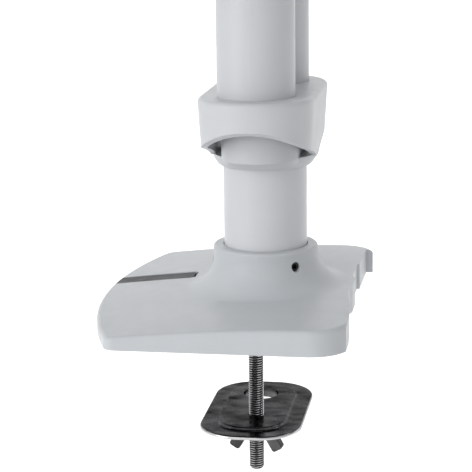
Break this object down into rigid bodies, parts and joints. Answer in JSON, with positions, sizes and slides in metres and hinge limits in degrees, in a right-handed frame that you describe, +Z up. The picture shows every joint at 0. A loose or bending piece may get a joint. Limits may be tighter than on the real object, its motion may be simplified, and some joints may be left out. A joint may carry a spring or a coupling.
{
  "type": "dual monitor arm",
  "caption": "Desk-clamped monitor arm: foot with clamp bolt and wing nut, short pole, swivel yoke with paired lift columns, jointed arms and tilting VESA heads.",
  "frame": {"origin": "axis of the pole at the desk surface, under the foot", "axes": "+Z up along the pole, -Y towards the user, +X to the right-hand arm"},
  "size_m": [0.573, 0.3071, 0.529],
  "materials": {
    "white_paint": "satin light grey powder coat",
    "dark_steel": "polished black chrome",
    "grey_strip": "mid grey strip",
    "bright_steel": "brushed",
    "black_steel": "black oxide",
    "black_paint": "fine textured black",
    "pad_rubber": "matt",
    "bearing_plastic": "moulded",
    "grey_plastic": "moulded satin"
  },
  "bodies": {
    "foot": {"foot_casting": "white_paint", "foot_pad": "pad_rubber", "channel_strip": "grey_strip", "pole": "white_paint", "pole_set_screws": "black_steel", "clamp_bolt": "dark_steel", "swivel_pin": "black_steel", "retaining_ring": "black_steel"},
    "clamp": {"clamp_plate": "dark_steel"},
    "nut": {"wing_nut": "dark_steel"},
    "yoke": {"yoke_casting": "white_paint", "swivel_bush": "bearing_plastic", "yoke_cap": "grey_plastic", "lift_column_right": "white_paint", "lift_column_left": "white_paint", "column_guides": "bearing_plastic", "strut_anchors": "bearing_plastic", "strut_cylinders": "black_steel"},
    "mast_right_body": {"mast_right": "bright_steel", "mast_shoe_right": "bearing_plastic", "strut_rod_right": "bright_steel", "mast_head_right": "white_paint", "shoulder_screw_right": "black_steel"},
    "arm_right_body": {"arm_right": "white_paint", "shoulder_bush_right": "bearing_plastic", "shoulder_cap_right": "grey_plastic", "arm_cable_cover_right": "grey_plastic", "elbow_pin_right": "black_steel"},
    "forearm_right_body": {"forearm_right": "white_paint", "elbow_bush_right": "bearing_plastic", "elbow_cap_right": "grey_plastic", "forearm_cable_cover_right": "grey_plastic", "head_post_right": "black_steel"},
    "head_right_body": {"head_bracket_right": "white_paint"},
    "tilt_right_body": {"tilt_clevis_right": "black_paint", "tilt_axle_right": "black_steel", "plate_keeper_right": "black_steel"},
    "vesa_right_body": {"vesa_plate_right": "black_paint"},
    "mast_left_body": {"mast_left": "bright_steel", "mast_shoe_left": "bearing_plastic", "strut_rod_left": "bright_steel", "mast_head_left": "white_paint", "shoulder_screw_left": "black_steel"},
    "arm_left_body": {"arm_left": "white_paint", "shoulder_bush_left": "bearing_plastic", "shoulder_cap_left": "grey_plastic", "arm_cable_cover_left": "grey_plastic", "elbow_pin_left": "black_steel"},
    "forearm_left_body": {"forearm_left": "white_paint", "elbow_bush_left": "bearing_plastic", "elbow_cap_left": "grey_plastic", "forearm_cable_cover_left": "grey_plastic", "head_post_left": "black_steel"},
    "head_left_body": {"head_bracket_left": "white_paint"},
    "tilt_left_body": {"tilt_clevis_left": "black_paint", "tilt_axle_left": "black_steel", "plate_keeper_left": "black_steel"},
    "vesa_left_body": {"vesa_plate_left": "black_paint"}
  },
  "joints": [
    {"name": "clamp_slide", "type": "slide", "parent": "foot", "child": "clamp", "axis": [0, 0, 1], "range_m": [-0.008, 0.044]},
    {"name": "wing_nut_turn", "type": "hinge", "parent": "clamp", "child": "nut", "pos_m": [0, -0.0056, -0.066], "axis": [0, 0, 1], "range_deg": [-2400, 12800]},
    {"name": "yoke_swivel", "type": "hinge", "parent": "foot", "child": "yoke", "pos_m": [0, 0, 0.09], "axis": [0, 0, 1], "range_deg": [-170, 170]},
    {"name": "lift_right", "type": "slide", "parent": "yoke", "child": "mast_right_body", "axis": [0, 0, 1], "range_m": [0, 0.12]},
    {"name": "shoulder_right", "type": "hinge", "parent": "mast_right_body", "child": "arm_right_body", "pos_m": [0.0285, 0, 0.385], "axis": [0, 0, 1], "range_deg": [-45, 90]},
    {"name": "elbow_right", "type": "hinge", "parent": "arm_right_body", "child": "forearm_right_body", "pos_m": [0.2285, 0, 0.41], "axis": [0, 0, 1], "range_deg": [-30, 150]},
    {"name": "head_swivel_right", "type": "hinge", "parent": "forearm_right_body", "child": "head_right_body", "pos_m": [0.2285, -0.18, 0.385], "axis": [0, 0, 1], "range_deg": [-90, 90]},
    {"name": "head_tilt_right", "type": "hinge", "parent": "head_right_body", "child": "tilt_right_body", "pos_m": [0.2285, -0.226, 0.383], "axis": [1, 0, 0], "range_deg": [-45, 20]},
    {"name": "plate_turn_right", "type": "hinge", "parent": "tilt_right_body", "child": "vesa_right_body", "pos_m": [0.2285, -0.257, 0.383], "axis": [0, 1, 0], "range_deg": [-90, 90]},
    {"name": "lift_left", "type": "slide", "parent": "yoke", "child": "mast_left_body", "axis": [0, 0, 1], "range_m": [0, 0.12]},
    {"name": "shoulder_left", "type": "hinge", "parent": "mast_left_body", "child": "arm_left_body", "pos_m": [-0.0285, 0, 0.385], "axis": [0, 0, 1], "range_deg": [-90, 45]},
    {"name": "elbow_left", "type": "hinge", "parent": "arm_left_body", "child": "forearm_left_body", "pos_m": [-0.2285, 0, 0.41], "axis": [0, 0, 1], "range_deg": [-150, 30]},
    {"name": "head_swivel_left", "type": "hinge", "parent": "forearm_left_body", "child": "head_left_body", "pos_m": [-0.2285, -0.18, 0.385], "axis": [0, 0, 1], "range_deg": [-90, 90]},
    {"name": "head_tilt_left", "type": "hinge", "parent": "head_left_body", "child": "tilt_left_body", "pos_m": [-0.2285, -0.226, 0.383], "axis": [1, 0, 0], "range_deg": [-45, 20]},
    {"name": "plate_turn_left", "type": "hinge", "parent": "tilt_left_body", "child": "vesa_left_body", "pos_m": [-0.2285, -0.257, 0.383], "axis": [0, 1, 0], "range_deg": [-90, 90]}
  ],
  "couplings": [
    {"joint": "wing_nut_turn", "follows": "clamp_slide", "rad_per_m": 5026.5}
  ]
}
